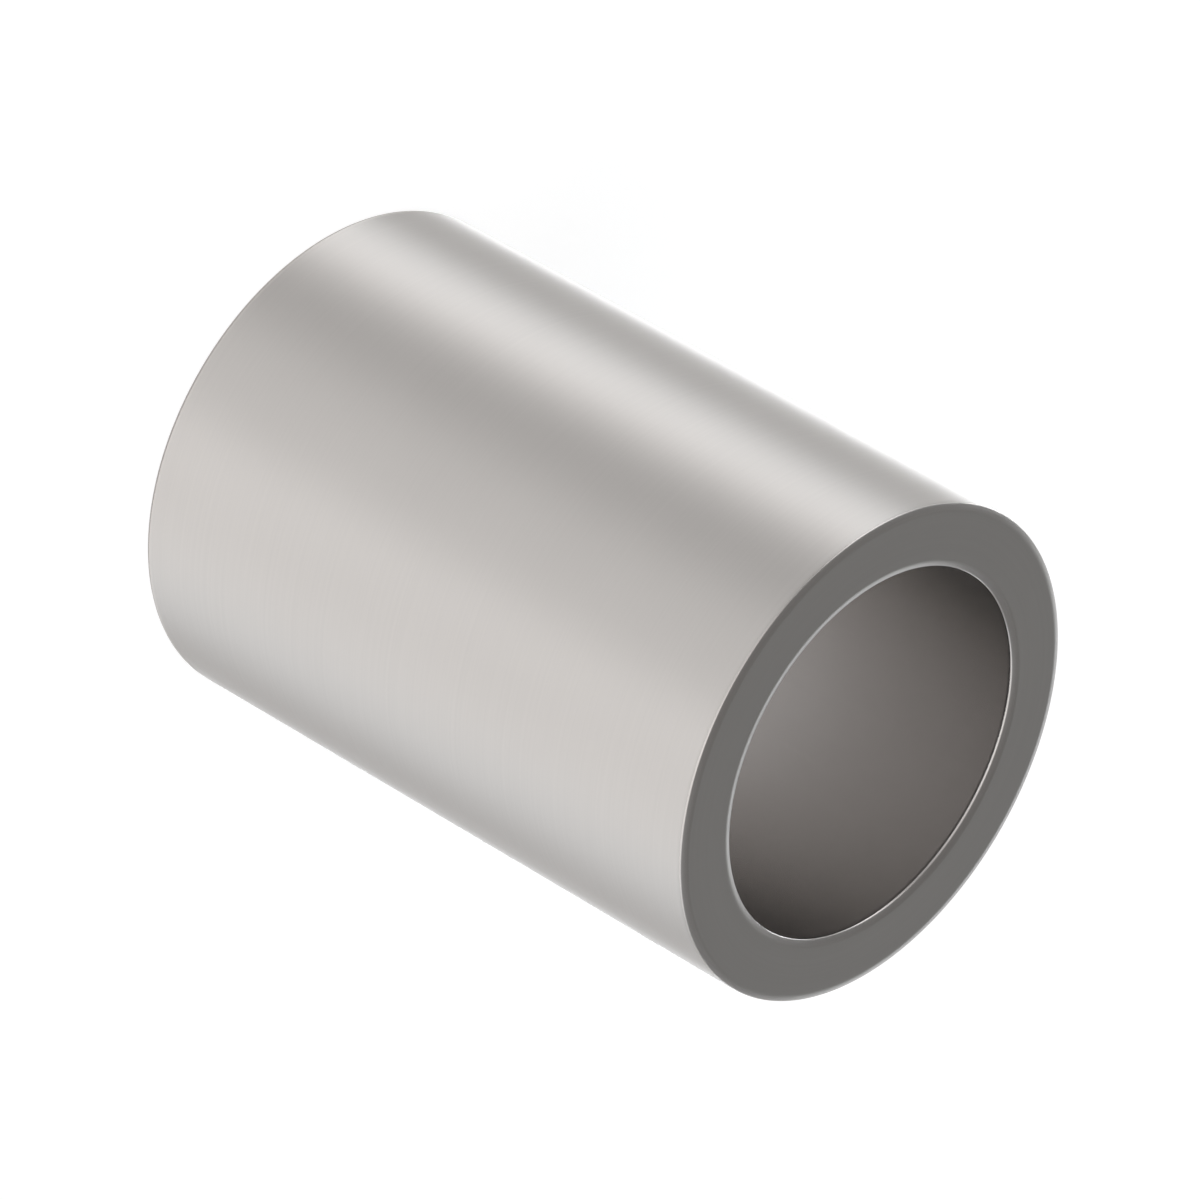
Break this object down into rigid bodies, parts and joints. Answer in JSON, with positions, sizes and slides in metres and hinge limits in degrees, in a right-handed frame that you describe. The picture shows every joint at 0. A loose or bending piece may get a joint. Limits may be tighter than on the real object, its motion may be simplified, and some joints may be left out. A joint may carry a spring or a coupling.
{
  "type": "spacer sleeve",
  "caption": "Plain round metal tube with a through bore and lightly broken rims, which keeps clamped parts a fixed distance apart round a screw.",
  "frame": {"origin": "centre of the lower end face, on the bore's axis", "axes": "+Z along the bore from the lower end face to the upper one; the sleeve is round, so X and Y are free"},
  "size_m": [0.012, 0.012, 0.017],
  "materials": {
    "steel": "satin bare metal, finely ground outside, plain faced ends, smooth bore"
  },
  "bodies": {
    "root": {"sleeve": "steel"}
  },
  "joints": []
}
